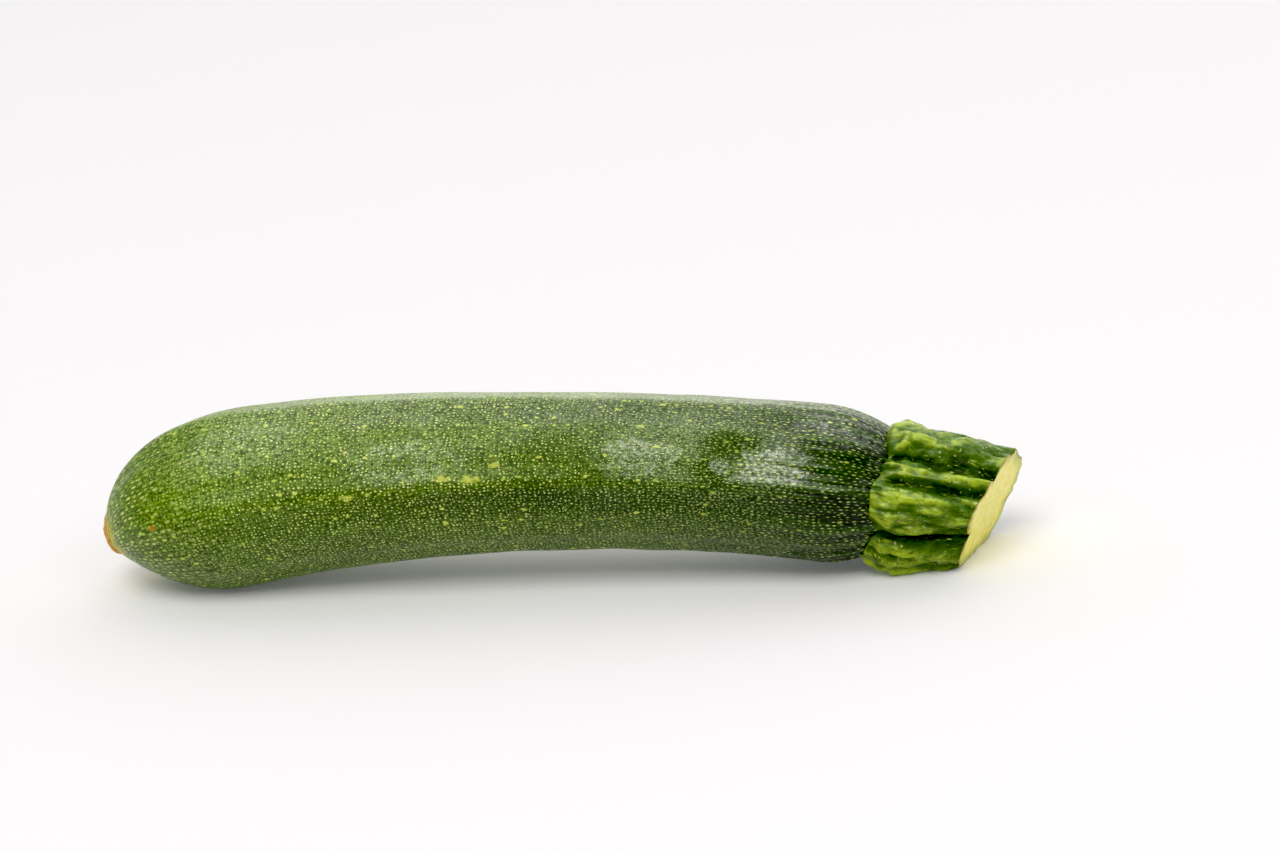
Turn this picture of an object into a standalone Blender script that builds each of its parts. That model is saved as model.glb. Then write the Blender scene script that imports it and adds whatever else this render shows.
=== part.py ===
"""A courgette with its cut stalk, lying on its side.

The fruit is a slightly arched, five-ridged body that tapers to a blunt blossom end and closes in a domed
shoulder under the stalk. The stalk is a stout five-ribbed star: its foot spreads over the shoulder in
scalloped lobes and its far end is a slanting knife cut. It rests on its belly, near the blossom end, and
on the two lower lobes of the stalk.

Metres, +Z up. +X runs from the blossom end to the stalk. The origin is the middle of the footprint, on
the surface that the courgette lies on.
"""

import math

import bmesh
import bpy
from mathutils import Matrix, Vector

MM = 0.001

# The fruit's centre line: the four control points of one Bezier curve, blossom end first.
SPINE = [Vector(point) * MM for point in ((0, 0, 9), (23, 2.5, 27), (131, -2, 27.3), (189.5, 0, 12))]
# Its radius along the way, before the ends close: also a Bezier curve, from its four control values.
GIRTH = [radius * MM for radius in (21.3, 18.8, 14.7, 16.8)]

# The blossom end and the shoulder: how far each rounding reaches, and how blunt it is.
NOSE_LENGTH = 42 * MM
NOSE_TAPER = 2.36
NOSE_BLUNTNESS = 1.31
SHOULDER_LENGTH = 22 * MM
SCAR_RADIUS = 3.4 * MM
SCAR_DEPTH = 0.6 * MM

# Five low ridges run along the fruit, one of them on top, and turn a little toward the blossom end.
RIDGES = 5
RIDGE_HEIGHT = 0.016
RIDGE_TWIST = math.radians(7)

# The stalk: a star with one rib for each ridge. Its foot reaches back over the shoulder, further at a
# rib than at a groove and further below than on top, swells into a rounded lip, and draws in to the cut.
SEAM = 0.3 * MM
RIB_REACH = 9.3 * MM
GROOVE_REACH = 6.8 * MM
FOOT_SLANT = 1.2 * MM
LIP_LENGTH = 4.5 * MM
RIB_SWELL = 2.3 * MM
GROOVE_SWELL = 0.6 * MM
CUT_RADIUS = 13 * MM
CUT_GROOVE = 0.26
STALK_LENGTH = 15 * MM
STALK_TAPER = 1.2
# The cut leans: it runs further out toward +Y and toward the top.
CUT_SLOPE_SIDE = 0.2
CUT_SLOPE_UP = 0.21

SEGMENTS = 50
FRUIT_RINGS = 40
FOOT_RINGS = 7
LIP_RINGS = 3
SIDE_RINGS = 7

SKIN_GREEN = (0.045, 0.105, 0.018, 1.0)
STALK_GREEN = (0.38, 0.46, 0.12, 1.0)


def bezier(controls, t):
    """The point or value at t of the cubic Bezier curve with these four controls."""
    a, b, c, d = controls
    return a * (1 - t) ** 3 + b * 3 * (1 - t) ** 2 * t + c * 3 * (1 - t) * t**2 + d * t**3


def measure_spine(steps=400):
    """The distance along the centre line at each of steps + 1 even values of its parameter."""
    points = [bezier(SPINE, i / steps) for i in range(steps + 1)]
    distances = [0.0]
    for before, after in zip(points, points[1:]):
        distances.append(distances[-1] + (after - before).length)
    return distances


DISTANCES = measure_spine()
FRUIT_LENGTH = DISTANCES[-1]


def parameter_at(s):
    """The curve parameter at distance s from the blossom end."""
    steps = len(DISTANCES) - 1
    after = next((i for i, d in enumerate(DISTANCES) if d >= s), steps)
    if after == 0:
        return 0.0
    before = after - 1
    span = DISTANCES[after] - DISTANCES[before]
    return (before + min(1.0, (s - DISTANCES[before]) / span)) / steps


def spine_frame(s):
    """Where the centre line is at distance s, and its directions along, left (+Y side) and up."""
    t = parameter_at(s)
    step = 0.002
    along = (bezier(SPINE, min(1.0, t + step)) - bezier(SPINE, max(0.0, t - step))).normalized()
    left = Vector((0, 0, 1)).cross(along).normalized()
    return bezier(SPINE, t), along, left, along.cross(left)


def fruit_radius(s):
    """The fruit's mean radius at distance s from the blossom end."""
    radius = bezier(GIRTH, s / FRUIT_LENGTH)
    if s < NOSE_LENGTH:
        radius *= (1 - (1 - s / NOSE_LENGTH) ** NOSE_TAPER) ** (1 / NOSE_BLUNTNESS)
    back = FRUIT_LENGTH - s
    if back < SHOULDER_LENGTH:
        radius *= math.sqrt(max(0.0, 1 - (1 - back / SHOULDER_LENGTH) ** 2))
    return radius


def skin_point(s, angle):
    """A point of the fruit's skin. The angle is measured from the top toward +Y."""
    centre, _, left, up = spine_frame(s)
    twist = -RIDGE_TWIST * (1 - s / FRUIT_LENGTH)
    radius = fruit_radius(s) * (1 + RIDGE_HEIGHT * math.cos(RIDGES * (angle - twist)))
    return centre + (up * math.cos(angle) + left * math.sin(angle)) * radius


def over_skin(s, angle, height):
    """A point at this height over the skin."""
    step = 0.2 * MM
    along = skin_point(min(FRUIT_LENGTH, s + step), angle) - skin_point(s - step, angle)
    around = skin_point(s, angle + 0.01) - skin_point(s, angle - 0.01)
    return skin_point(s, angle) + along.cross(around).normalized() * height


def ring_angles():
    return [2 * math.pi * i / SEGMENTS for i in range(SEGMENTS)]


def closed_body(name, first_pole, rings, last_pole, material):
    """One closed object: a point, then rings of SEGMENTS points, then a point."""
    shape = bmesh.new()
    first = shape.verts.new(first_pole)
    loops = [[shape.verts.new(point) for point in ring] for ring in rings]
    last = shape.verts.new(last_pole)
    for i in range(SEGMENTS):
        j = (i + 1) % SEGMENTS
        shape.faces.new((first, loops[0][i], loops[0][j]))
        for ring, following in zip(loops, loops[1:]):
            shape.faces.new((ring[i], following[i], following[j], ring[j]))
        shape.faces.new((last, loops[-1][j], loops[-1][i]))
    bmesh.ops.recalc_face_normals(shape, faces=shape.faces)
    mesh = bpy.data.meshes.new(name)
    shape.to_mesh(mesh)
    shape.free()
    mesh.shade_smooth()
    mesh.set_sharp_from_angle(angle=math.radians(40))
    mesh.materials.append(material)
    body = bpy.data.objects.new(name, mesh)
    bpy.context.collection.objects.link(body)
    return body


def plain_material(name, colour, roughness):
    material = bpy.data.materials.new(name)
    material.use_nodes = True
    shader = material.node_tree.nodes["Principled BSDF"]
    shader.inputs["Base Color"].default_value = colour
    shader.inputs["Roughness"].default_value = roughness
    shader.inputs["Metallic"].default_value = 0.0
    return material


def make_fruit():
    """The body of the courgette, from the blossom scar to the top of the shoulder."""
    stations = [FRUIT_LENGTH / 2 * (1 - math.cos(math.pi * i / FRUIT_RINGS)) for i in range(1, FRUIT_RINGS)]
    stations = [s for s in stations if s > NOSE_LENGTH or fruit_radius(s) > SCAR_RADIUS]
    rings = [[skin_point(s, angle) for angle in ring_angles()] for s in stations]
    centre, along, _, _ = spine_frame(stations[0])
    shoulder_top = spine_frame(FRUIT_LENGTH)[0]
    skin = plain_material("skin", SKIN_GREEN, 0.35)
    return closed_body("fruit", centre + along * SCAR_DEPTH, rings, shoulder_top, skin)


def rib(angle):
    """1 on the crest of a rib, falling to 0 in the sharp groove between two ribs."""
    return abs(math.cos(RIDGES * angle / 2))


def between(groove_value, rib_value, angle):
    """A size that changes from its value in the grooves to its value on the crests of the ribs."""
    return groove_value + (rib_value - groove_value) * rib(angle)


def make_stalk():
    """The stalk: a hollow foot that follows the shoulder, a rounded lip, ribbed sides and the cut."""
    end, along, left, up = spine_frame(FRUIT_LENGTH)
    frame = Matrix((along, left, up)).transposed()

    def foot_point(angle, share):
        reach = between(GROOVE_REACH, RIB_REACH, angle) - FOOT_SLANT * math.cos(angle)
        return over_skin(FRUIT_LENGTH - reach * share**2, angle, SEAM)

    def stalk_point(angle, forward, radius):
        return end + frame @ Vector((forward, radius * math.sin(angle), radius * math.cos(angle)))

    def edge_of_foot(angle):
        edge = frame.transposed() @ (foot_point(angle, 1) - end)
        return edge.x, math.hypot(edge.y, edge.z)

    def lip_point(angle, turn):
        forward, radius = edge_of_foot(angle)
        forward += LIP_LENGTH * (1 - math.cos(turn))
        return stalk_point(angle, forward, radius + between(GROOVE_SWELL, RIB_SWELL, angle) * math.sin(turn))

    def side_point(angle, share):
        forward, radius = edge_of_foot(angle)
        forward += LIP_LENGTH
        radius += between(GROOVE_SWELL, RIB_SWELL, angle)
        cut_radius = between(CUT_RADIUS * (1 - CUT_GROOVE), CUT_RADIUS, angle)
        radius += (cut_radius - radius) * share**STALK_TAPER
        slope = CUT_SLOPE_SIDE * math.sin(angle) + CUT_SLOPE_UP * math.cos(angle)
        forward += (STALK_LENGTH + slope * cut_radius - forward) * share
        return stalk_point(angle, forward, radius)

    angles = ring_angles()
    foot = [[foot_point(a, (k + 1) / FOOT_RINGS) for a in angles] for k in range(FOOT_RINGS)]
    lip = [[lip_point(a, math.pi / 2 * (k + 1) / LIP_RINGS) for a in angles] for k in range(LIP_RINGS)]
    sides = [[side_point(a, (k + 1) / SIDE_RINGS) for a in angles] for k in range(SIDE_RINGS)]
    cut_middle = stalk_point(0, STALK_LENGTH, 0)
    flesh = [[cut_middle.lerp(point, 0.5) for point in sides[-1]]]
    green = plain_material("stalk", STALK_GREEN, 0.5)
    return closed_body("stem", end + along * SEAM, foot + lip + sides + flesh, cut_middle, green)


def lowest(points):
    return min(points, key=lambda point: point.z)


def lay_down(bodies):
    """Tips and rolls the courgette until its belly and both lower ribs of its stalk touch z = 0."""
    points = [vertex.co.copy() for body in bodies for vertex in body.data.vertices]
    middle = FRUIT_LENGTH / 2
    pose = Matrix.Identity(3)
    for _ in range(10):
        turned = [pose @ point for point in points]
        belly = lowest(point for point in turned if point.x < middle)
        right_rib = lowest(point for point in turned if point.x > middle and point.y < 0)
        left_rib = lowest(point for point in turned if point.x > middle and point.y > 0)
        heel = (right_rib + left_rib) / 2
        tip = Matrix.Rotation(math.atan2(heel.z - belly.z, heel.x - belly.x), 3, "Y")
        roll = Matrix.Rotation(math.atan2(right_rib.z - left_rib.z, left_rib.y - right_rib.y), 3, "X")
        pose = roll @ tip @ pose
    turned = [pose @ point for point in points]
    lows = Vector([min(point[axis] for point in turned) for axis in range(3)])
    highs = Vector([max(point[axis] for point in turned) for axis in range(3)])
    courgette = bpy.data.objects.new("courgette", None)
    bpy.context.collection.objects.link(courgette)
    courgette.rotation_euler = pose.to_euler()
    courgette.location = (-(lows.x + highs.x) / 2, -(lows.y + highs.y) / 2, -lows.z)
    for body in bodies:
        body.parent = courgette


for old in list(bpy.data.objects):
    bpy.data.objects.remove(old, do_unlink=True)

lay_down([make_fruit(), make_stalk()])
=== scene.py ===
import math

import bpy
import numpy as np
from mathutils import Euler, Matrix, Vector, noise


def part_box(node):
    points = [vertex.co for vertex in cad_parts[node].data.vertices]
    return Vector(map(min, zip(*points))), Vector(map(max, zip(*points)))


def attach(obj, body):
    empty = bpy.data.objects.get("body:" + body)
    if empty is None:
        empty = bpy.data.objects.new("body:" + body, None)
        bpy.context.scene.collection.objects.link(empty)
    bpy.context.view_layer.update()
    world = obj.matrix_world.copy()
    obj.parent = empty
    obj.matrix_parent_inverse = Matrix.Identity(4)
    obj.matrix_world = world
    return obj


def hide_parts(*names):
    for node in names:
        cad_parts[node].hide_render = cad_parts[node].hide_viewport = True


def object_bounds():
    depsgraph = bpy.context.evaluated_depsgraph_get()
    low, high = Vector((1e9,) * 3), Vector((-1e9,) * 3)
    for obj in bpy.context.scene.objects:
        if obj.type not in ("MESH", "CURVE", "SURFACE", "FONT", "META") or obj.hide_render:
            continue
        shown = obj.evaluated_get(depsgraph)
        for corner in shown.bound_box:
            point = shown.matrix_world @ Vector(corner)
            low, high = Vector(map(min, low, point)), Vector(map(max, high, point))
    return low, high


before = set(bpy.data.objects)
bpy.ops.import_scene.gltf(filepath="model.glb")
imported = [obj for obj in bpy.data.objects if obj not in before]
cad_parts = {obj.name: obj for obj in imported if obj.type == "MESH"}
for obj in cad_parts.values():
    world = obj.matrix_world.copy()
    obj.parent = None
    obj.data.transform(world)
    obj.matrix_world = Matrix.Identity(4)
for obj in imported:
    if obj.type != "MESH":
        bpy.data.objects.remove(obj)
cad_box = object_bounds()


# ---- The lie of the courgette ----
# A loose fruit on a table top, tipped and rolled a little until its belly and the two lower ribs of its
# stalk all touch. Shapes are worked out in millimetres, blossom end first, and then laid down in metres.

MM = 0.001
TIP = math.radians(-0.76)
ROLL = math.radians(2.18)
LIE = np.array(Euler((ROLL, TIP, 0)).to_matrix())


# ---- The fruit ----
# A courgette's body: crisp flesh in a thin waxy skin. It grows as one slightly arched, five-ridged tube
# that tapers to the scar of the flower and closes in a domed shoulder under the stalk.

SPINE = np.array([(0, 0, 9), (23, 2.5, 27), (131, -2, 27.3), (189.5, 0, 12)])
GIRTH = np.array([21.3, 18.8, 14.7, 16.8])
NOSE_LENGTH, NOSE_TAPER, NOSE_BLUNTNESS = 42, 2.36, 1.31
SHOULDER_LENGTH = 22
RIDGES = 5
RIDGE_HEIGHT = 0.018
RIDGE_CREASE = 0.011
RIDGE_EDGE = 0.006
RIDGE_TWIST = math.radians(7)
# How far below the crest of a ridge the painted shade on its skin is darkest.
FLANK = math.radians(13)
MEAN_RADIUS = 18
SCAR_RADIUS = 5.0
SCAR_ABOVE = 2.4

# What growing adds: how far across each kind of lump is, and how high.
WAVE_SIZE, WAVE_HEIGHT = 24, 0.30
DENT_SIZE, DENT_HEIGHT, STALK_DENT_HEIGHT = 8, 0.10, 0.16
DIMPLE_SIZE, DIMPLE_HEIGHT = 3.5, 0.05
PUCKER_SIZE, PUCKER_HEIGHT, PUCKER_LENGTH = 3.0, 0.25, 20
BROAD_PLEAT, NARROW_PLEAT, PLEAT_HEIGHT = 5.0, 2.2, 0.8
# Pleats start this far from the stalk's end, and are at their full height here.
PLEATS_START, PLEATS_FULL = 42, 9

ALONG_STEPS = 370
AROUND_STEPS = 256


def bezier(controls, t):
    """Points or values of the cubic Bezier curve with these four controls."""
    t = np.asarray(t, float)
    if controls.ndim > 1:
        t = t[..., None]
    a, b, c, d = controls
    return a * (1 - t) ** 3 + b * 3 * (1 - t) ** 2 * t + c * 3 * (1 - t) * t**2 + d * t**3


CURVE_STEPS = np.linspace(0, 1, 801)
CURVE_PARTS = np.linalg.norm(np.diff(bezier(SPINE, CURVE_STEPS), axis=0), axis=1)
DISTANCES = np.concatenate([[0], np.cumsum(CURVE_PARTS)])
FRUIT_LENGTH = DISTANCES[-1]


def unit(vectors):
    return vectors / np.linalg.norm(vectors, axis=-1, keepdims=True)


def spine_frames(s):
    """The centre line at distances s from the blossom end, and its directions along, left and up."""
    t = np.interp(s, DISTANCES, CURVE_STEPS)
    step = 0.002
    ahead, behind = np.minimum(1, t + step), np.maximum(0, t - step)
    along = unit(bezier(SPINE, ahead) - bezier(SPINE, behind))
    left = unit(np.cross([0.0, 0.0, 1.0], along))
    return bezier(SPINE, t), along, left, np.cross(along, left)


def ease(value, start, end):
    """0 before start, 1 after end, and smooth between them."""
    t = np.clip((np.asarray(value, float) - start) / (end - start), 0, 1)
    return t * t * (3 - 2 * t)


def lumps(points, size, seed):
    """Smooth lumps from -1 to 1, about `size` millimetres across, with no pattern."""
    shift = Vector((13.7, 7.9, 21.3)) * seed
    flat = points.reshape(-1, 3) / size
    return np.array([noise.noise(Vector(p) + shift) for p in flat]).reshape(points.shape[:-1])


def straightened(s, angle, radius=MEAN_RADIUS):
    """Where a point would be on a straight, even tube: a pattern drawn there has no seam."""
    s, angle = np.broadcast_arrays(s, angle)
    return np.stack([s, radius * np.cos(angle), radius * np.sin(angle)], -1)


def fruit_radius(s):
    """The fruit's mean radius at distances s from the blossom end."""
    radius = bezier(GIRTH, s / FRUIT_LENGTH)
    nose = np.clip(1 - s / NOSE_LENGTH, 0, 1)
    back = np.clip(1 - (FRUIT_LENGTH - s) / SHOULDER_LENGTH, 0, 1)
    return radius * (1 - nose**NOSE_TAPER) ** (1 / NOSE_BLUNTNESS) * np.sqrt(1 - back**2)


def pleats(s, angle):
    """Pleats of the skin, which gather toward the stalk: above 0 on a crest, and below it in a furrow."""
    broad = np.abs(lumps(straightened(s * 0.10, angle, 30), BROAD_PLEAT, 4)) * 2 - 0.45
    narrow = np.abs(lumps(straightened(s * 0.12, angle, 30), NARROW_PLEAT, 6)) * 2 - 0.45
    gather = ease(s, FRUIT_LENGTH - PLEATS_START, FRUIT_LENGTH - PLEATS_FULL)
    return gather * (0.6 * broad + 0.6 * narrow)


def growth(s, angle):
    """What growing adds to the plain shape, in millimetres: waves, dents, pleats and puckers."""
    straight = straightened(s, angle)
    waves = WAVE_HEIGHT * lumps(straight * [0.6, 1, 1], WAVE_SIZE, 1)
    stalk_half = ease(s, 70, 130)
    dents = (DENT_HEIGHT + STALK_DENT_HEIGHT * stalk_half) * lumps(straight * [0.75, 1, 1], DENT_SIZE, 2)
    dents += DIMPLE_HEIGHT * lumps(straight * [0.7, 1, 1], DIMPLE_SIZE, 3)
    puckers = lumps(straightened(s * 0.2, angle, 22), PUCKER_SIZE, 5)
    pucker = 1 - ease(s, 3, PUCKER_LENGTH)
    return waves + dents + PLEAT_HEIGHT * pleats(s, angle) + PUCKER_HEIGHT * pucker * puckers


def skin_point(s, angle):
    """Points of the skin. The angle is measured from the top toward +Y."""
    centre, _, left, up = spine_frames(s)
    s, angle = np.broadcast_arrays(s, angle)
    turned = RIDGES * (angle + RIDGE_TWIST * (1 - s / FRUIT_LENGTH))
    off_shoulder = 1 - ease(s, FRUIT_LENGTH - 40, FRUIT_LENGTH - 15)
    ridges = RIDGE_HEIGHT * np.cos(turned) + RIDGE_CREASE * np.cos(2 * turned)
    ridges += RIDGE_EDGE * np.cos(3 * turned) * off_shoulder
    plain = fruit_radius(s)
    fade = ease(plain, 2, 9)
    radius = (plain * (1 + ridges) + growth(s, angle) * fade)[..., None]
    return centre + (up * np.cos(angle)[..., None] + left * np.sin(angle)[..., None]) * radius


def even_angles(count):
    return np.arange(count) * 2 * math.pi / count


def lay(points):
    """Points on the table, in metres, from millimetres. What would go under it is pressed flat."""
    laid = points.reshape(-1, 3) @ LIE.T * MM + LAID_AT
    laid[:, 2] = np.maximum(laid[:, 2], 0)
    return laid


def lofted(name, rings, first_pole, last_pole, patterns):
    """A closed mesh: a pole, rings of points, a pole. A pattern is a named value for each ring point."""
    count, around = rings.shape[:2]
    points = np.concatenate([[first_pole], rings.reshape(-1, 3), [last_pole]])
    start = 1 + np.arange(count)[:, None] * around + np.arange(around)
    after = np.roll(start, -1, axis=1)
    quads = np.stack([start[:-1], start[1:], after[1:], after[:-1]], -1).reshape(-1, 4)
    last = len(points) - 1
    first_fan = [(0, int(a), int(b)) for a, b in zip(start[0], after[0])]
    last_fan = [(last, int(b), int(a)) for a, b in zip(start[-1], after[-1])]
    mesh = bpy.data.meshes.new(name)
    mesh.from_pydata(lay(points).tolist(), [], first_fan + quads.tolist() + last_fan)
    for key, values in patterns.items():
        values = values.reshape(count * around, -1)
        whole = np.concatenate([[values[:around].mean(0)], values, [values[-around:].mean(0)]])
        kind = "FLOAT_VECTOR" if whole.shape[1] == 3 else "FLOAT"
        field = mesh.attributes.new(key, kind, "POINT")
        field.data.foreach_set("vector" if kind == "FLOAT_VECTOR" else "value", whole.ravel())
    mesh.shade_smooth()
    piece = bpy.data.objects.new(name, mesh)
    bpy.context.collection.objects.link(piece)
    return piece


def map_grid(piece, rings, around, along):
    """Adds a map of (distance along, share of the way round), which runs on past the last column."""
    mesh = piece.data
    corners = np.empty(len(mesh.loops), int)
    mesh.loops.foreach_get("vertex_index", corners)
    starts = np.empty(len(mesh.polygons), int)
    totals = np.empty(len(mesh.polygons), int)
    mesh.polygons.foreach_get("loop_start", starts)
    mesh.polygons.foreach_get("loop_total", totals)
    face = np.repeat(np.arange(len(starts)), totals)
    ring, column = np.divmod(np.clip(corners - 1, 0, rings * around - 1), around)
    pole = (corners == 0) | (corners == rings * around + 1)
    # A face past the last column starts there, so its far corners count on instead of back to 0.
    lowest = np.full(len(starts), around)
    highest = np.zeros(len(starts), int)
    np.minimum.at(lowest, face[~pole], column[~pole])
    np.maximum.at(highest, face[~pole], column[~pole])
    wraps = (highest - lowest)[face] > 1
    column = np.where(wraps & (column == 0), around, column)
    column = np.where(pole, np.where(highest == around - 1, highest, lowest)[face], column)
    grid = np.stack([along[ring], column / around], -1)
    mesh.uv_layers.new(name="grid").data.foreach_set("uv", grid.ravel())


# The rings crowd together toward both ends, where the shape turns most.
CROWDING = 0.22
ring_share = np.linspace(0, 1, ALONG_STEPS)
ring_share = ring_share - CROWDING * np.sin(2 * math.pi * ring_share) / (2 * math.pi)
NOSE_STEPS = np.linspace(0, 12, 400)


def nose_distance(radius):
    """How far along the fruit its nose has grown to this radius."""
    return np.interp(radius, fruit_radius(NOSE_STEPS), NOSE_STEPS)


first_ring = nose_distance(1.2)
skin_s = first_ring + (FRUIT_LENGTH - 0.4 - first_ring) * ring_share
skin_s = skin_s[:, None]
# The columns start under the belly, where the map's own join doesn't show.
skin_angles = even_angles(AROUND_STEPS)[None, :] + math.pi
skin_rings = skin_point(skin_s, skin_angles)

# The courgette lies where its solids lie: the fruit's lowest corner fixes it.
plain_spine, _, plain_left, plain_up = spine_frames(skin_s)
plain_radius = fruit_radius(skin_s) * (1 + RIDGE_HEIGHT * np.cos(RIDGES * skin_angles))
plain_skin = plain_spine + (
    plain_up * np.cos(skin_angles)[..., None] + plain_left * np.sin(skin_angles)[..., None]
) * plain_radius[..., None]
posed = plain_skin.reshape(-1, 3) @ LIE.T * MM
fruit_low, fruit_high = (np.array(corner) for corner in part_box("fruit"))
LAID_AT = (fruit_low + fruit_high) / 2 - (posed.min(0) + posed.max(0)) / 2
LAID_AT[2] = -posed[:, 2].min()

skin_twist = RIDGE_TWIST * (1 - skin_s / FRUIT_LENGTH)
nose_tip = spine_frames(np.array(first_ring * 0.6))[0]
shoulder_top = spine_frames(np.array(FRUIT_LENGTH))[0]
fruit = lofted(
    "courgette_fruit",
    skin_rings,
    nose_tip,
    shoulder_top,
    {
        "straight": straightened(skin_s, skin_angles),
        "pleat": pleats(skin_s, skin_angles),
        "flank": np.cos(RIDGES * (skin_angles + skin_twist + FLANK)),
    },
)
map_grid(fruit, ALONG_STEPS, AROUND_STEPS, skin_s[:, 0])
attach(fruit, "root")
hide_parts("fruit")


def srgb(hex_colour):
    """The linear colour of an sRGB hex value."""
    parts = [int(hex_colour[i : i + 2], 16) / 255 for i in (1, 3, 5)]
    linear = [p / 12.92 if p <= 0.04045 else ((p + 0.055) / 1.055) ** 2.4 for p in parts]
    return (*linear, 1.0)


def feed(material, made, feeds):
    """Sets or links a node's inputs, in order or by name. A node stands for its first output."""
    if isinstance(feeds, list):
        feeds = dict(zip([n for n, socket in enumerate(made.inputs) if socket.enabled], feeds))
    for key, value in feeds.items():
        if isinstance(value, bpy.types.Node):
            value = next(socket for socket in value.outputs if socket.enabled)
        if isinstance(value, bpy.types.NodeSocket):
            material.node_tree.links.new(value, made.inputs[key])
        else:
            made.inputs[key].default_value = value


def add(material, kind, feeds=None, **settings):
    """Adds a node with these settings, and feeds its inputs."""
    made = material.node_tree.nodes.new("ShaderNode" + kind)
    for key, value in settings.items():
        setattr(made, key, value)
    feed(material, made, feeds or {})
    return made


# Settings that many nodes share.
COLOURS = {"data_type": "RGBA"}
SMOOTH = {"interpolation_type": "SMOOTHSTEP"}
TIMES = {"operation": "MULTIPLY"}
TIMES_PLUS = {"operation": "MULTIPLY_ADD"}
HIGHER = {"operation": "MAXIMUM"}


def new_material(name):
    material = bpy.data.materials.new(name)
    material.use_nodes = True
    return material, material.node_tree.nodes["Principled BSDF"]


def specks(material, grid, wander, rows, pitch, smallest, largest, length, share, seed):
    """Scattered specks: one to a cell of a grid of `rows` around and one each `pitch` mm along.

    Each row starts at a place of its own. Each speck has its own place, size from smallest to largest (a
    radius in mm) and brightness, is `length` times longer than wide, and only this share of the cells
    holds one. Returns its cover, and its brightness from 0 to 1.
    """
    row_width = 2 * math.pi * MEAN_RADIUS / rows
    even = add(material, "VectorMath", [grid, (1 / pitch, rows, 0)], **TIMES)
    shifted = add(material, "VectorMath", [wander, (1 / pitch, 1 / row_width, 0), even], **TIMES_PLUS)
    forward, round_it, _ = add(material, "SeparateXYZ", [shifted]).outputs
    row = add(material, "Math", [round_it], operation="FLOOR")
    row = add(material, "Math", [row, rows, 0], operation="WRAP")
    row_seed = add(material, "Math", [row, seed])
    row_start = add(material, "TexWhiteNoise", [row_seed], noise_dimensions="1D")
    forward = add(material, "Math", [forward, row_start])
    place = add(material, "Math", [forward], operation="FLOOR")
    cell = add(material, "CombineXYZ", [place, row, seed + 0.5])
    luck = add(material, "TexWhiteNoise", [cell])
    within_pitch = add(material, "Math", [forward], operation="FRACT")
    within_row = add(material, "Math", [round_it], operation="FRACT")
    inside = add(material, "CombineXYZ", [within_pitch, within_row])
    # The share of its cell that a speck's centre may move over.
    room = 0.4
    nearest = room / 2 - 0.5
    scatter = [luck.outputs["Color"], (-room, -room, 0), (nearest, nearest, 0)]
    offset = add(material, "VectorMath", [inside, add(material, "VectorMath", scatter, **TIMES_PLUS)])
    offset = add(material, "VectorMath", [offset, (pitch / length, row_width, 0)], **TIMES)
    distance = add(material, "VectorMath", [offset], operation="LENGTH")
    radius = add(material, "Math", [luck, largest - smallest, smallest], **TIMES_PLUS)
    heart = add(material, "Math", [radius, 0.4], **TIMES)
    cover = add(material, "MapRange", [distance, heart, radius, 1.0, 0.0], **SMOOTH)
    chance = add(material, "SeparateColor", [luck.outputs["Color"]]).outputs[2]
    present = add(material, "Math", [chance, share], operation="LESS_THAN")
    brightness = add(material, "Math", [chance, share], operation="DIVIDE")
    return add(material, "Math", [cover, present], **TIMES), brightness


def patch(material, where, ragged, s, degrees, length, width):
    """A ragged patch of the skin, centred s mm from the blossom end and this far round from the top."""
    angle = math.radians(degrees)
    centre = (-s, -MEAN_RADIUS * math.cos(angle), -MEAN_RADIUS * math.sin(angle))
    offset = add(material, "VectorMath", [where, centre])
    offset = add(material, "VectorMath", [offset, (2 / length, 2 / width, 2 / width)], **TIMES)
    distance = add(material, "VectorMath", [offset], operation="LENGTH")
    distance = add(material, "Math", [distance, ragged])
    return add(material, "MapRange", [distance, 0.55, 1.15, 1.0, 0.0], **SMOOTH)


# Courgette skin: a thin, waxy, living cuticle over green cells, so it's satin and not glossy, and its
# highlights are broken up by a fine grain. Air-filled cells show as pale specks in rows that run from
# the flower to the stalk, and it deepens from leaf green at the flower to nearly black at the stalk.
# Sizes and places are in millimetres, and `along` counts them from the flower.
skin, skin_shader = new_material("waxy_courgette_skin")
grid = add(skin, "UVMap", uv_map="grid")
straight = add(skin, "Attribute", attribute_name="straight").outputs["Vector"]
pleat = add(skin, "Attribute", attribute_name="pleat").outputs["Fac"]
flank = add(skin, "Attribute", attribute_name="flank").outputs["Fac"]
along, height, _ = add(skin, "SeparateXYZ", [straight]).outputs
belly = add(skin, "MapRange", [height, -6.0, 6.0, 1.0, 0.0], **SMOOTH)
near_flower = add(skin, "MapRange", [along, 10.0, 48.0, 1.0, 0.0], **SMOOTH)
near_stalk = add(skin, "MapRange", [along, 140.0, 182.0, 0.0, 1.0], **SMOOTH)
off_stalk = add(skin, "Math", [1.0, near_stalk], operation="SUBTRACT")

# The rows of specks wander by up to 1.8 mm in the middle, and straighten where they gather at each end.
wander = add(skin, "TexNoise", [straight, 1 / 9.0, 1.0, 0.5]).outputs["Color"]
wander = add(skin, "VectorMath", [wander, (3.6, 2.6, 0), (-1.8, -1.3, 0)], **TIMES_PLUS)
off_flower = add(skin, "MapRange", [along, 4.0, 40.0, 0.0, 1.0], **SMOOTH)
straying = add(skin, "Math", [off_flower, off_stalk], **TIMES)
wander = add(skin, "VectorMath", [wander, straying], operation="SCALE")

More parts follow.
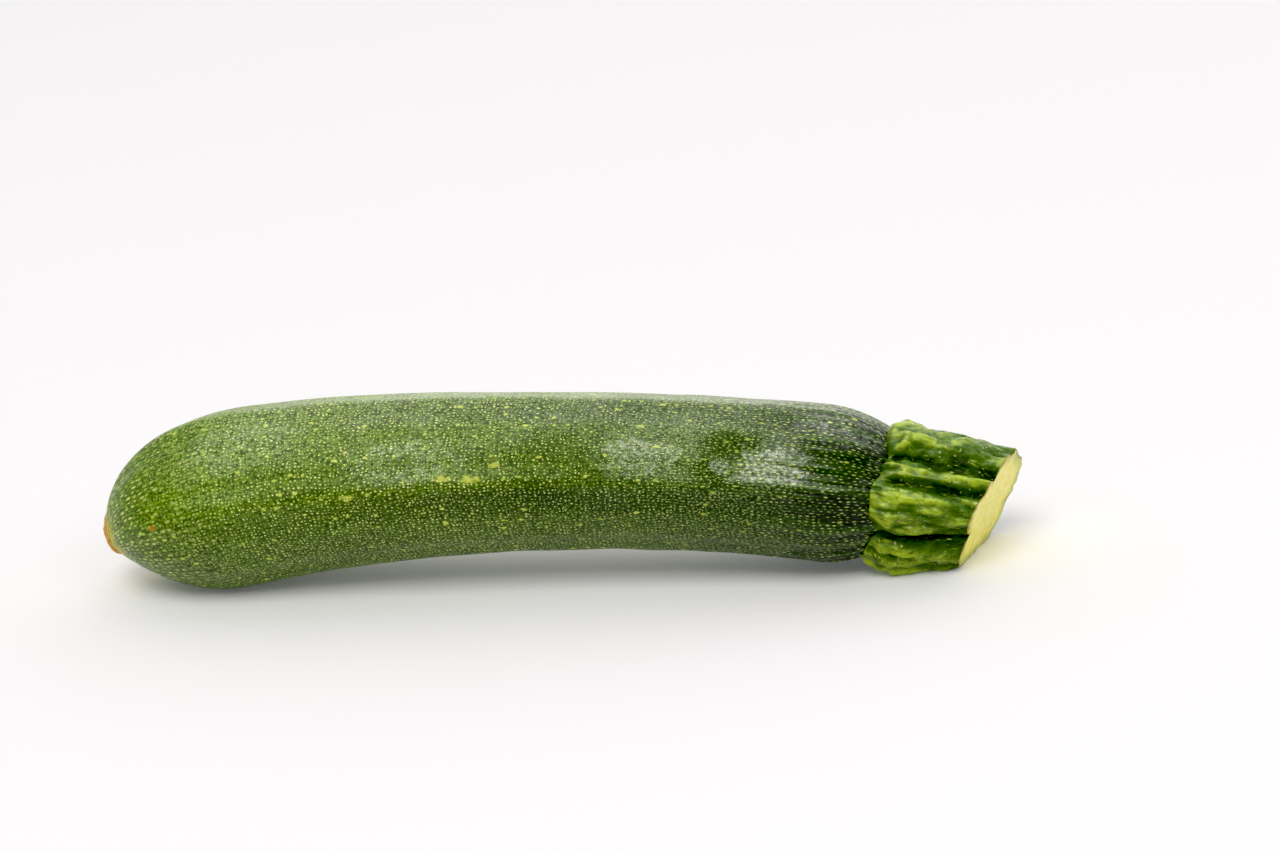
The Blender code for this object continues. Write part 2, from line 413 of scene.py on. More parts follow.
# Green of the flesh under the cuticle: it ages in patches, 12 mm across, from the flower to the stalk.
twice_as_long = add(skin, "VectorMath", [straight, (0.5, 1, 1)], **TIMES)
patches = add(skin, "TexNoise", [twice_as_long, 1 / 12, 3.0, 0.5])
age = add(skin, "Math", [patches, 70.0, add(skin, "Math", [along, -35.0])], **TIMES_PLUS)
young = add(skin, "MapRange", [age, 5.0, 90.0, 0.0, 1.0], **SMOOTH)
old = add(skin, "MapRange", [age, 90.0, 185.0, 0.0, 1.0], **SMOOTH)
green = add(skin, "Mix", [young, srgb("#729700"), srgb("#628104")], **COLOURS)
green = add(skin, "Mix", [old, green, srgb("#314e0a")], **COLOURS)

# Painted shade: a darker band follows the flank of each ridge, more so toward the stalk.
flank_shade = add(skin, "MapRange", [flank, 0.2, 1.0, 0.0, 1.0], **SMOOTH)
flank_shade_depth = add(skin, "MapRange", [along, 30.0, 130.0, 0.05, 0.66], **SMOOTH)
flank_shade = add(skin, "Math", [flank_shade, flank_shade_depth], **TIMES)
green = add(skin, "Mix", [flank_shade, green, srgb("#203e00")], **COLOURS)

# Dark hollows of 4.5 mm, and a dark grain of 0.62 mm, coarser than its real cells so that it shows.
hollows = add(skin, "TexNoise", [twice_as_long, 1 / 4.5, 3.0, 0.6])
hollows = add(skin, "MapRange", [hollows, 0.35, 0.60, 0.25, 0.0], **SMOOTH)
green = add(skin, "Mix", [hollows, green, srgb("#1c3600")], **COLOURS)
grain = add(skin, "VectorMath", [straight, (0.6, 1, 1)], **TIMES)
grain = add(skin, "TexNoise", [grain, 1 / 0.62, 2.0, 0.6])
dark_grain = add(skin, "MapRange", [grain, 0.36, 0.64, 0.7, 0.0], **SMOOTH)
green = add(skin, "Mix", [dark_grain, green, srgb("#0c2400")], **COLOURS)

# Streaks 1.3 mm wide run into the stalk, and painted shade makes the furrows between the pleats almost
# black.
streaks = add(skin, "VectorMath", [straight, (0.05, 1, 1)], **TIMES)
streaks = add(skin, "TexNoise", [streaks, 1 / 1.3, 2.0, 0.6])
streaks = add(skin, "MapRange", [streaks, 0.48, 0.6, 0.0, 1.0], **SMOOTH)
streak_depth = add(skin, "MapRange", [along, 145.0, 190.0, 0.05, 0.9], **SMOOTH)
streaks = add(skin, "Math", [streaks, streak_depth], **TIMES)
green = add(skin, "Mix", [streaks, green, srgb("#081900")], **COLOURS)
# Painted shade in the furrows between the pleats.
furrow_shade = add(skin, "MapRange", [pleat, -0.25, 0.0, 0.85, 0.0], **SMOOTH)
green = add(skin, "Mix", [furrow_shade, green, srgb("#050f00")], **COLOURS)

# Places on the skin are given as the distance from the flower and the degrees round from the top, and
# sizes as length and width. Here the wax stays dull, by this share, and painted shade deepens the green.
DULL_PLACES = (
    (155.6, -41, 15, 9, 0.85),
    (151, -62, 10, 7, 0.8),
    (176, -44, 20, 14, 0.75),
    (124, -66, 12, 5, 0.6),
    (116, -53, 24, 12, 0.5),
)
broken = add(skin, "TexNoise", [straight, 1 / 3.0, 4.0, 0.7])
broken = add(skin, "Math", [broken, 1.8, -0.9], **TIMES_PLUS)
dull = 0.0
for *place, share in DULL_PLACES:
    hollow = add(skin, "Math", [patch(skin, straight, broken, *place), share], **TIMES)
    dull = add(skin, "Math", [dull, hollow], **HIGHER)
# Painted shade deepens the green in the dull places.
dull_place_shade = add(skin, "Math", [dull, 0.38], **TIMES)
green = add(skin, "Mix", [dull_place_shade, green, srgb("#163200")], **COLOURS)

# Painted shade: greyer and darker toward the belly.
belly_shade = add(skin, "Math", [young, -0.25, 0.45], **TIMES_PLUS)
belly_shade = add(skin, "Math", [belly, belly_shade], **TIMES)
green = add(skin, "Mix", [belly_shade, green, srgb("#24400e")], **COLOURS)

# A dark smudge under the front ridge, and soft yellow blotches on it.
SMUDGE = (114, -82, 16, 6)
BLOTCHES = ((93.3, -69, 3.4, 1.8), (99.2, -70, 4.2, 1.8), (71, -78, 3.0, 1.4), (104.5, -60, 2.6, 1.4))
ragged = add(skin, "VectorMath", [straight, (0.7, 1, 1)], **TIMES)
ragged = add(skin, "TexNoise", [ragged, 1 / 1.1, 3.0, 0.75])
ragged = add(skin, "Math", [ragged, 3.4, -1.7], **TIMES_PLUS)
smudge = add(skin, "Math", [patch(skin, straight, ragged, *SMUDGE), 0.45], **TIMES)
green = add(skin, "Mix", [smudge, green, srgb("#163200")], **COLOURS)
for place in BLOTCHES:
    blotch = add(skin, "Math", [patch(skin, straight, ragged, *place), 0.85], **TIMES)
    green = add(skin, "Mix", [blotch, green, srgb("#bcc444")], **COLOURS)

# Specks: rows of fine dots over the middle, which give way to longer dashes at the flower and to thin
# ones at the stalk, and sparse larger flecks everywhere.
DOT_PITCH, DOT_ROWS = 0.98, 156
# Rows, pitch, smallest and largest radius, length in widths, share of cells filled, and seed.
DASHES = (150, 1.4, 0.09, 0.20, 2.8, 0.9, 4)
FLECKS = (44, 3.6, 0.22, 0.48, 1.8, 0.28, 2)
NOSE_DASHES = (92, 2.0, 0.18, 0.46, 2.5, 0.9, 5)
dot_grid = add(skin, "VectorMath", [grid, (1 / DOT_PITCH, DOT_ROWS, 0), wander], **TIMES_PLUS)
cells = {"Vector": dot_grid, "Scale": 1.0, "Randomness": 0.66}
cells = add(skin, "TexVoronoi", cells, voronoi_dimensions="2D")
dot_size, dot_light, _ = add(skin, "SeparateColor", [cells.outputs["Color"]]).outputs
dot_radius = add(skin, "Math", [dot_size, 0.22, 0.14], **TIMES_PLUS)
dwindling = add(skin, "MapRange", [along, 90.0, 170.0, 1.0, 0.78], **SMOOTH)
dot_radius = add(skin, "Math", [dot_radius, dwindling], **TIMES)
dot_heart = add(skin, "Math", [dot_radius, 0.45], **TIMES)
dots = add(skin, "MapRange", [cells, dot_heart, dot_radius, 1.0, 0.0], **SMOOTH)
thinning = add(skin, "Math", [near_flower, -0.8, 1.0], **TIMES_PLUS)
dots = add(skin, "Math", [dots, thinning], **TIMES)
dots = add(skin, "Math", [dots, off_stalk], **TIMES)
dashes, dash_light = specks(skin, grid, wander, *DASHES)
thickening = add(skin, "MapRange", [along, 115.0, 165.0, 0.0, 1.0], **SMOOTH)
dashes = add(skin, "Math", [dashes, thickening], **TIMES)
flecks, fleck_light = specks(skin, grid, wander, *FLECKS)
nose_dashes, nose_light = specks(skin, grid, wander, *NOSE_DASHES)
nose_dashes = add(skin, "Math", [nose_dashes, near_flower], **TIMES)

dot_colour = add(skin, "Mix", [dot_light, srgb("#9aba38"), srgb("#f8ff9c")], **COLOURS)
dot_age = add(skin, "Math", [old, 0.25], **TIMES)
dot_colour = add(skin, "Mix", [dot_age, dot_colour, srgb("#7c9440")], **COLOURS)
dot_cover = add(skin, "Math", [dots, 0.9], **TIMES)
skin_colour = add(skin, "Mix", [dot_cover, green, dot_colour], **COLOURS)
dash_colour = add(skin, "Mix", [dash_light, srgb("#7a9638"), srgb("#dcec80")], **COLOURS)
dash_cover = add(skin, "Math", [dashes, 0.8], **TIMES)
skin_colour = add(skin, "Mix", [dash_cover, skin_colour, dash_colour], **COLOURS)
nose_colour = add(skin, "Mix", [nose_light, srgb("#9cbc3c"), srgb("#f0f88c")], **COLOURS)
nose_cover = add(skin, "Math", [nose_dashes, 0.85], **TIMES)
skin_colour = add(skin, "Mix", [nose_cover, skin_colour, nose_colour], **COLOURS)
fleck_colour = add(skin, "Mix", [fleck_light, srgb("#b4c84a"), srgb("#d8e45e")], **COLOURS)
fleck_cover = add(skin, "MapRange", [along, 110.0, 170.0, 0.9, 0.5], **SMOOTH)
fleck_cover = add(skin, "Math", [flecks, fleck_cover], **TIMES)
skin_colour = add(skin, "Mix", [fleck_cover, skin_colour, fleck_colour], **COLOURS)

# It yellows round the blossom scar.
glow_centre, _, glow_left, glow_up = spine_frames(nose_distance(SCAR_ABOVE))
glow_at = lay(glow_centre + glow_up * SCAR_ABOVE - glow_left * 1.5)[0]
where = add(skin, "TexCoord").outputs["Object"]
from_scar = add(skin, "VectorMath", [where, tuple(glow_at)], operation="DISTANCE")
from_scar = add(skin, "Math", [patches, -6 * MM, from_scar], **TIMES_PLUS)
near_scar = add(skin, "MapRange", [from_scar, 3 * MM, 10 * MM, 1.0, 0.0], **SMOOTH)
yellowed = add(skin, "Math", [near_scar, 0.78], **TIMES)
skin_colour = add(skin, "Mix", [yellowed, skin_colour, srgb("#cfca2c")], **COLOURS)

# A pin-prick healed over with cork, and two scratches on the underside of the nose.
HEALED_MARKS = (
    (22.8, -77, 1.9, 1.5, "#c4761c"),
    (31, -119, 3.4, 0.8, "#0e1c02"),
    (27, -112, 1.8, 0.7, "#0e1c02"),
)
for *place, colour in HEALED_MARKS:
    healed = patch(skin, straight, add(skin, "Math", [ragged, 0.5], **TIMES), *place)
    healed = add(skin, "Math", [healed, 0.85], **TIMES)
    skin_colour = add(skin, "Mix", [healed, skin_colour, srgb(colour)], **COLOURS)

# The wax shines in clouds of 9 mm, and it is rubbed to a gritty shine here, by this share.
RUBBED_PLACES = (
    (136, -51, 19, 11, 1.1),
    (164, -57, 17, 14, 1.3),
    (153, -58, 5, 4, 1.0),
    (84, -57, 32, 13, 1.0),
    (46, -30, 34, 16, 0.8),
    (179, -14, 26, 12, 0.8),
    (189, 22, 14, 20, 1.3),
)
shine = add(skin, "VectorMath", [straight, (0.6, 1, 1)], **TIMES)
shine = add(skin, "TexNoise", [shine, 1 / 9.0, 4.0, 0.6])
shine = add(skin, "MapRange", [shine, 0.30, 0.70, 0.24, 0.42], **SMOOTH)
not_dull = add(skin, "Math", [1.0, dull], operation="SUBTRACT")
shine = add(skin, "Math", [shine, not_dull], **TIMES)
grit = add(skin, "TexNoise", [straight, 1 / 1.1, 3.0, 0.8])
grit = add(skin, "MapRange", [grit, 0.38, 0.62, 0.25, 1.0], **SMOOTH)
for *place, share in RUBBED_PLACES:
    rubbed = add(skin, "Math", [patch(skin, straight, broken, *place), share], **TIMES)
    shine = add(skin, "Math", [shine, add(skin, "Math", [grit, rubbed], **TIMES)], **HIGHER)

# It shines too on the crests of the pleats and on the clean belly, and not at all round the scar.
pleat_shine = add(skin, "MapRange", [pleat, 0.05, 0.55, 0.0, 0.6], **SMOOTH)
shine = add(skin, "Math", [shine, pleat_shine], **HIGHER)
belly_shine = add(skin, "Math", [belly, 0.52], **TIMES)
shine = add(skin, "Math", [shine, belly_shine], **HIGHER)
grain_shine = add(skin, "MapRange", [grain, 0.36, 0.60, 0.5, 1.15], **SMOOTH)
shine = add(skin, "Math", [shine, grain_shine], **TIMES)
off_scar = add(skin, "Math", [near_scar, -0.8, 1.0], **TIMES_PLUS)
shine = add(skin, "Math", [shine, off_scar], **TIMES)
relief = {"Height": add(skin, "Math", [grain, dots]), "Distance": 0.07 * MM, "Strength": 0.8}
feed(skin, skin_shader, {
    "Base Color": skin_colour,
    "Roughness": add(skin, "MapRange", [broken, -0.3, 0.3, 0.30, 0.40], **SMOOTH),
    "IOR": 1.40,
    "Specular IOR Level": shine,
    "Normal": add(skin, "Bump", relief),
})
fruit.data.materials.append(skin)


# ---- The blossom scar ----
# The dry ring that the flower leaves when it drops: a ragged disc of tan cork, darker in the middle,
# where a few remains of the flower stay. It grew out of the fruit's blunt end.

CORK_THICKNESS, RIM_HEIGHT, DIP_DEPTH = 0.50, 0.35, 0.25
CRUMB_SIZE, CRUMB_HEIGHT = 0.9, 0.22
CLOD_SIZE, CLOD_HEIGHT = 2.0, 0.25
TUCK_DEPTH = 1.4
PLUG_DEPTH = 2.2
SCAR_RINGS = 26
SCAR_STEPS = 96

scar_angles = even_angles(SCAR_STEPS)[None, :]
scar_share = np.linspace(0.04, 1.12, SCAR_RINGS)[:, None]
ragged_edge = 1 + 0.10 * lumps(straightened(np.zeros((1, 1)), scar_angles, 6), 2.2, 11)
scar_radius = SCAR_RADIUS * scar_share * ragged_edge
scar_field = straightened(scar_share * 4, scar_angles, 5) * [0, 1, 1] * scar_share[..., None]
# It stands proud in a ring and sinks to a rough hollow in the middle, and its edge tucks into the skin.
rim = np.exp(-(((scar_share - 0.84) / 0.16) ** 2))
dip = 1 - ease(scar_share, 0.1, 0.7)
ring_height = CORK_THICKNESS + RIM_HEIGHT * rim - DIP_DEPTH * dip
crumbs = CRUMB_HEIGHT * lumps(scar_field, CRUMB_SIZE, 12) + CLOD_HEIGHT * lumps(scar_field, CLOD_SIZE, 13)
tuck = TUCK_DEPTH * ease(scar_share, 0.95, 1.12)
scar_height = ring_height + crumbs * ease(1.15 - scar_share, 0.02, 0.2) - tuck
above = SCAR_ABOVE + scar_radius * np.cos(scar_angles)
beside = scar_radius * np.sin(scar_angles)
scar_centre, scar_along, scar_left, scar_up = spine_frames(nose_distance(np.hypot(above, beside)))
scar_points = scar_centre + scar_up * above[..., None] + scar_left * beside[..., None]
scar_points = scar_points - scar_along * scar_height[..., None]
scar_points = scar_points[::-1]
scar_middle = scar_points[-1].mean(0)
scar_along = scar_along[0, 0]
scar = lofted(
    "blossom_scar",
    scar_points,
    scar_middle + scar_along * PLUG_DEPTH,
    scar_middle,
    {"across": np.broadcast_to(scar_share[::-1], scar_points.shape[:2])},
)
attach(scar, "root")

# Cork: dead, dry, matt cells, tan to orange brown, nearly black where the flower's base rotted away.
cork, cork_shader = new_material("dry_blossom_cork")
scar_where = add(cork, "TexCoord").outputs["Object"]
scar_where = add(cork, "VectorMath", [scar_where, (1 / MM, 1 / MM, 1 / MM)], **TIMES)
across = add(cork, "Attribute", attribute_name="across").outputs["Fac"]
cork_grain = add(cork, "TexNoise", [scar_where, 1 / 0.7, 4.0, 0.7])
pale_cork = add(cork, "MapRange", [cork_grain, 0.35, 0.65, 0.0, 1.0], **SMOOTH)
cork_colour = add(cork, "Mix", [pale_cork, srgb("#b8701c"), srgb("#e8b45c")], **COLOURS)
rotten = add(cork, "Math", [cork_grain, 0.5, across], **TIMES_PLUS)
rotten = add(cork, "MapRange", [rotten, 0.45, 0.95, 1.0, 0.0], **SMOOTH)
cork_relief = {"Height": cork_grain, "Distance": 0.2 * MM, "Strength": 0.7}
feed(cork, cork_shader, {
    "Base Color": add(cork, "Mix", [rotten, cork_colour, srgb("#4a2c10")], **COLOURS),
    "Roughness": 0.85,
    "Normal": add(cork, "Bump", cork_relief),
})
scar.data.materials.append(cork)


# ---- The stalk ----
# The peduncle that held the fruit on the plant: tough, fibrous and angular, with a rib for each ridge of
# the fruit. Its knobbly foot spreads over the shoulder in lobes, and a knife cut it on the slant.

SEAM = 0.05
RIB_REACH, GROOVE_REACH, FOOT_SLANT = 9.3, 6.8, 1.2
LIP_LENGTH = 4.5
RIB_SWELL, GROOVE_SWELL = 2.3, 0.6
CUT_RADIUS, CUT_GROOVE = 13, 0.30
STALK_LENGTH = 14.6
STALK_TAPER = 1.2
CUT_SLOPE_SIDE, CUT_SLOPE_UP = 0.27, 0.21
# A smaller ridge stands in the groove between the top rib and the front one, with a cleft below it.
SIDE_RIDGE_AT, SIDE_RIDGE_WIDTH, SIDE_RIDGE_HEIGHT = math.radians(-38), math.radians(7), 2.34
SIDE_RIDGE_REACH, SIDE_RIDGE_SWELL = 1.6, 1.0
CLEFT_AT, CLEFT_WIDTH, CLEFT_DEPTH = math.radians(-55), math.radians(5.5), 1.7
# The relief of the rind: how far across each kind of lump is, and how high.
LOBE_SIZE, LOBE_HEIGHT = 4.0, 0.7
KNOB_SIZE, KNOB_HEIGHT = 4.5, 0.8
SMALL_KNOB_SIZE, SMALL_KNOB_HEIGHT = 1.9, 0.4
FOOT_KNOB_SIZE, FOOT_KNOB_HEIGHT = 3.0, 1.7
WART_SIZE, WART_HEIGHT = 0.9, 0.16
WRINKLE_SIZE, WRINKLE_HEIGHT = 3.0, 0.75
FINE_WRINKLE_SIZE, FINE_WRINKLE_HEIGHT = 1.6, 0.35
GROOVE_DEPTH = 1.5
FLESH_SINK = 0.7
STALK_RADIUS = 14

STALK_STEPS = 320
FOOT_RINGS, LIP_RINGS, SIDE_RINGS, CUT_RINGS = 16, 18, 110, 26

stalk_origin, stalk_along, stalk_left, stalk_up = spine_frames(np.array(FRUIT_LENGTH))
stalk_angles = even_angles(STALK_STEPS)
rib = np.abs(np.cos(RIDGES * stalk_angles / 2))


def bulge(at, width):
    """A bulge round the stalk, 1 at this angle and near 0 two widths away from it."""
    apart = (stalk_angles - at + math.pi) % (2 * math.pi) - math.pi
    return np.exp(-((apart / width) ** 2))


side_ridge = bulge(SIDE_RIDGE_AT, SIDE_RIDGE_WIDTH)
cleft = bulge(CLEFT_AT, CLEFT_WIDTH)


def between(groove_value, rib_value):
    return groove_value + (rib_value - groove_value) * rib


def over_skin(s, angle, height):
    """Points at this height over the fruit's skin."""
    step = 0.2
    forward = skin_point(np.minimum(s + step, FRUIT_LENGTH), angle) - skin_point(s - step, angle)
    around = skin_point(s, angle + 0.01) - skin_point(s, angle - 0.01)
    return skin_point(s, angle) + unit(np.cross(forward, around)) * height


foot_reach = between(GROOVE_REACH, RIB_REACH) - FOOT_SLANT * np.cos(stalk_angles)
foot_reach = foot_reach + SIDE_RIDGE_REACH * side_ridge
foot_edge = straightened(np.zeros(1), stalk_angles, STALK_RADIUS)
foot_reach = foot_reach + LOBE_HEIGHT * lumps(foot_edge, LOBE_SIZE, 21)
foot_share = np.linspace(0.04, 1, FOOT_RINGS)[:, None] ** 2
foot = over_skin(FRUIT_LENGTH - foot_reach * foot_share, stalk_angles[None, :], SEAM)

edge = foot[-1] - stalk_origin
edge_forward = edge @ stalk_along
edge_radius = np.hypot(edge @ stalk_left, edge @ stalk_up)
swell = between(GROOVE_SWELL, RIB_SWELL) + SIDE_RIDGE_SWELL * side_ridge

lip_turn = (np.arange(1, LIP_RINGS + 1) / LIP_RINGS * math.pi / 2)[:, None]
lip_forward = edge_forward + LIP_LENGTH * (1 - np.cos(lip_turn))
lip_radius = edge_radius + swell * np.sin(lip_turn)

side_share = (np.arange(1, SIDE_RINGS + 1) / SIDE_RINGS)[:, None]
# The grooves are shallow on the side away from the front.
front_side = 0.35 + 0.65 * ease(-np.sin(stalk_angles), -0.1, 0.5)
cut_radius = CUT_RADIUS * (1 - CUT_GROOVE * (1 - rib) * front_side) + SIDE_RIDGE_HEIGHT * side_ridge
side_radius = lip_radius[-1] + (cut_radius - lip_radius[-1]) * side_share**STALK_TAPER
cut_slope = CUT_SLOPE_SIDE * np.sin(stalk_angles) + CUT_SLOPE_UP * np.cos(stalk_angles)
side_forward = lip_forward[-1] + (STALK_LENGTH + cut_slope * cut_radius - lip_forward[-1]) * side_share

forward = np.concatenate([lip_forward, side_forward])
radius = np.concatenate([lip_radius, side_radius])
field = straightened(forward, stalk_angles[None, :], STALK_RADIUS)
knobs = KNOB_HEIGHT * lumps(field * [0.5, 1, 1], KNOB_SIZE, 22)
knobs += SMALL_KNOB_HEIGHT * lumps(field * [0.4, 1, 1], SMALL_KNOB_SIZE, 23)
foot_knobs = FOOT_KNOB_HEIGHT * lumps(field, FOOT_KNOB_SIZE, 24) * (1 - ease(forward, -6, 1))
warts = WART_HEIGHT * lumps(field * [0.6, 1, 1], WART_SIZE, 25)
wrinkles = WRINKLE_HEIGHT * (np.abs(lumps(field * [0.30, 1, 1], WRINKLE_SIZE, 28)) * 2 - 0.4)
wrinkles += FINE_WRINKLE_HEIGHT * (np.abs(lumps(field * [0.45, 1, 1], FINE_WRINKLE_SIZE, 29)) * 2 - 0.4)
# The grooves run out toward the cut, and so does the cleft.
groove_depth = GROOVE_DEPTH * ((1 - rib) ** 3 - 0.1) * (1 - side_ridge) * (1 - 0.6 * ease(forward, 4, 12))
groove_depth = groove_depth + CLEFT_DEPTH * cleft * (1 - 0.5 * ease(forward, 3, 13))
settle = ease(np.arange(len(forward)), 0, LIP_RINGS * 0.7)[:, None]
rind_relief = (knobs + foot_knobs + warts + wrinkles - groove_depth) * settle
radius = radius + rind_relief
# How far each point stands out from the rind around it: the rind's colour paints a highlight where it
# stands out and shade where it sinks.
ring_span = np.arange(-16, 17)
around_mean = np.mean([np.roll(radius, turn, axis=1) for turn in ring_span], axis=0)


def stalk_point(forward, angle, radius):
    across = stalk_up * np.cos(angle)[..., None] + stalk_left * np.sin(angle)[..., None]
    return stalk_origin + stalk_along * forward[..., None] + across * radius[..., None]


sides = stalk_point(forward, stalk_angles[None, :], radius)
rind_crest = radius - around_mean

# The cut: a narrow dried rim, then flat wet flesh that sinks a little in the middle.
cut_share = np.linspace(0.975, 0.03, CUT_RINGS)[:, None]
rim_radius = radius[-1]
cut_field = straightened(np.zeros(1), stalk_angles, 1) * cut_share[..., None] * rim_radius[..., None]
flesh_radius = rim_radius * cut_share
flesh_sink = -FLESH_SINK * (1 - cut_share**2)
flesh_sink = flesh_sink + 0.10 * lumps(cut_field, 1.2, 26) + 0.25 * lumps(cut_field, 4.0, 27)
flesh_forward = STALK_LENGTH + cut_slope * flesh_radius + flesh_sink + 0.15
flesh = stalk_point(flesh_forward, stalk_angles[None, :], flesh_radius)

stalk_rings = np.concatenate([foot, sides, flesh])
crest = np.concatenate([np.zeros(foot.shape[:2]), rind_crest, np.zeros(flesh.shape[:2])])
across_cut = np.concatenate([
    np.full(foot.shape[:2], 2.0),
    np.full(sides.shape[:2], 1.05),
    np.broadcast_to(cut_share, flesh.shape[:2]),
])
stalk_field = np.concatenate([
    straightened(foot_share * 5 - 12, stalk_angles[None, :], 12), field,
    cut_field + np.array([STALK_LENGTH, 0, 0]),
])
stalk = lofted(
    "cut_stalk",
    stalk_rings,
    stalk_origin + stalk_along * SEAM,
    stalk_point(np.array(STALK_LENGTH - 0.6), np.array(0.0), np.array(0.0)),
    {"straight": stalk_field, "crest": crest, "across": across_cut},
)
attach(stalk, "root")
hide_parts("stem")

# Rind: tough, fibrous, ribbed skin. Painted highlight makes it yellow green on the crests and painted
# shade makes it deep green in the furrows, with pale warts and broken pale fibres that run along it, and
# a satin surface.
rind, rind_shader = new_material("fibrous_stalk_rind")
rind_where = add(rind, "Attribute", attribute_name="straight").outputs["Vector"]
rind_height = add(rind, "Attribute", attribute_name="crest").outputs["Fac"]
rind_along, _, _ = add(rind, "SeparateXYZ", [rind_where]).outputs
near_foot = add(rind, "MapRange", [rind_along, -4.0, 7.0, 1.0, 0.0], **SMOOTH)
longer = add(rind, "VectorMath", [rind_where, (0.6, 1, 1)], **TIMES)
mottle = add(rind, "TexNoise", [longer, 1 / 2.4, 4.0, 0.6])
# Painted highlight and shade: the colour rises with how far the rind stands out, with a random mottle,
# and is lighter near the foot.
crest_light_and_mottle = add(rind, "Math", [mottle, 3.6, add(rind, "Math", [rind_height, -1.98])], **TIMES_PLUS)
crest_light_and_mottle = add(rind, "Math", [near_foot, 0.5, crest_light_and_mottle], **TIMES_PLUS)
mid_green = add(rind, "MapRange", [crest_light_and_mottle, -1.3, 0.1, 0.0, 1.0], **SMOOTH)
rind_colour = add(rind, "Mix", [mid_green, srgb("#122600"), srgb("#456800")], **COLOURS)
crest_highlight = add(rind, "MapRange", [crest_light_and_mottle, 0.05, 1.25, 0.0, 1.0], **SMOOTH)
rind_colour = add(rind, "Mix", [crest_highlight, rind_colour, srgb("#a6be20")], **COLOURS)

# A net of darker veins, with meshes of 1.8 mm, drawn out along the stalk and bent by a finer noise.
vein_bends = add(rind, "TexNoise", [rind_where, 1 / 1.5, 2.0, 0.5]).outputs["Color"]
vein_bends = add(rind, "VectorMath", [vein_bends, (1.6, 1.6, 1.6)], **TIMES)
vein_where = add(rind, "VectorMath", [rind_where, (0.45, 1, 1)], **TIMES)
vein_where = add(rind, "VectorMath", [vein_where, vein_bends])
veins = add(rind, "TexVoronoi", {"Vector": vein_where, "Scale": 0.55}, feature="DISTANCE_TO_EDGE")
veins = add(rind, "MapRange", [veins, 0.0, 0.14, 0.35, 0.0], **SMOOTH)
rind_colour = add(rind, "Mix", [veins, rind_colour, srgb("#254400")], **COLOURS)

# Fibres 0.8 mm apart, dark between and pale along their backs, and pale warts.
fibre_where = add(rind, "VectorMath", [rind_where, (0.22, 1, 1)], **TIMES)
fibres = add(rind, "TexNoise", [fibre_where, 1 / 0.8, 4.0, 0.65])
between_fibres = add(rind, "MapRange", [fibres, 0.3, 0.5, 0.6, 0.0], **SMOOTH)
rind_colour = add(rind, "Mix", [between_fibres, rind_colour, srgb("#2f5200")], **COLOURS)
fibre_backs = add(rind, "MapRange", [fibres, 0.58, 0.72, 0.0, 0.6], **SMOOTH)
rind_colour = add(rind, "Mix", [fibre_backs, rind_colour, srgb("#b5cc40")], **COLOURS)
wart_where = add(rind, "VectorMath", [rind_where, (0.7, 1, 1)], **TIMES)
wart_noise = add(rind, "TexNoise", [wart_where, 1 / 0.8, 1.0, 0.5])
pale_warts = add(rind, "MapRange", [wart_noise, 0.68, 0.76, 0.0, 0.7], **SMOOTH)
rind_colour = add(rind, "Mix", [pale_warts, rind_colour, srgb("#cdd676")], **COLOURS)
rind_relief = {"Height": add(rind, "Math", [fibres, wart_noise]), "Distance": 0.3 * MM, "Strength": 0.6}
feed(rind, rind_shader, {
    "Base Color": rind_colour,
    "Roughness": 0.38,
    "Specular IOR Level": add(rind, "MapRange", [crest_light_and_mottle, -0.6, 0.9, 0.04, 0.30], **SMOOTH),
    "Normal": add(rind, "Bump", rind_relief),
})
stalk.data.materials.append(rind)

# Cut flesh: wet, pale yellow pith, greener toward the rind, with a dried tan rim. Light goes a little way
# in, so it glows.
pith, pith_shader = new_material("cut_stalk_flesh")
pith_where = add(pith, "Attribute", attribute_name="straight").outputs["Vector"]
out_from_middle = add(pith, "Attribute", attribute_name="across").outputs["Fac"]
pulp = add(pith, "TexNoise", [pith_where, 1 / 1.1, 4.0, 0.6])
pale_pulp = add(pith, "MapRange", [pulp, 0.3, 0.7, 0.0, 1.0], **SMOOTH)
pith_colour = add(pith, "Mix", [pale_pulp, srgb("#ece24e"), srgb("#fbf294")], **COLOURS)
green_edge = add(pith, "Math", [pulp, 0.15, out_from_middle], **TIMES_PLUS)
green_edge = add(pith, "MapRange", [green_edge, 0.80, 1.02, 0.0, 1.0], **SMOOTH)
green_edge = add(pith, "Math", [green_edge, 0.6], **TIMES)
pith_colour = add(pith, "Mix", [green_edge, pith_colour, srgb("#9fb812")], **COLOURS)
dry_rim = add(pith, "Math", [pulp, 0.05, out_from_middle], **TIMES_PLUS)
dry_rim = add(pith, "MapRange", [dry_rim, 0.975, 1.01, 0.0, 1.0], **SMOOTH)
dry_rim = add(pith, "Math", [dry_rim, 0.7], **TIMES)
feed(pith, pith_shader, {
    "Base Color": add(pith, "Mix", [dry_rim, pith_colour, srgb("#a8793a")], **COLOURS),
    "Roughness": 0.4,
    "Normal": add(pith, "Bump", {"Height": pulp, "Distance": 0.2 * MM, "Strength": 0.5}),
    "Subsurface Weight": 0.25,
    "Subsurface Radius": (1.0, 0.9, 0.3),
    "Subsurface Scale": 1.5 * MM,
})
stalk.data.materials.append(pith)

first_flesh_ring = FOOT_RINGS + LIP_RINGS + SIDE_RINGS
flesh_from = 1 + (first_flesh_ring - 1) * STALK_STEPS
for face in stalk.data.polygons:
    if min(face.vertices) >= flesh_from:
        face.material_index = 1


# ---- The hairs ----
# Short, stiff, pale bristles that stand on the ribs of the stalk and curl toward the cut.

HAIRS = 420
HAIR_SIDES = 4
HAIR_JOINTS = 3
HAIR_LENGTHS = (0.35, 0.95)
HAIR_THICKNESSES = (0.035, 0.06)
HAIR_CURL = 0.12
HAIR_ROOT = 0.08

hair_luck = np.random.default_rng(7)
around_ring = np.roll(sides, -1, axis=1) - np.roll(sides, 1, axis=1)
stalk_normals = unit(np.cross(around_ring, np.gradient(sides, axis=0)))
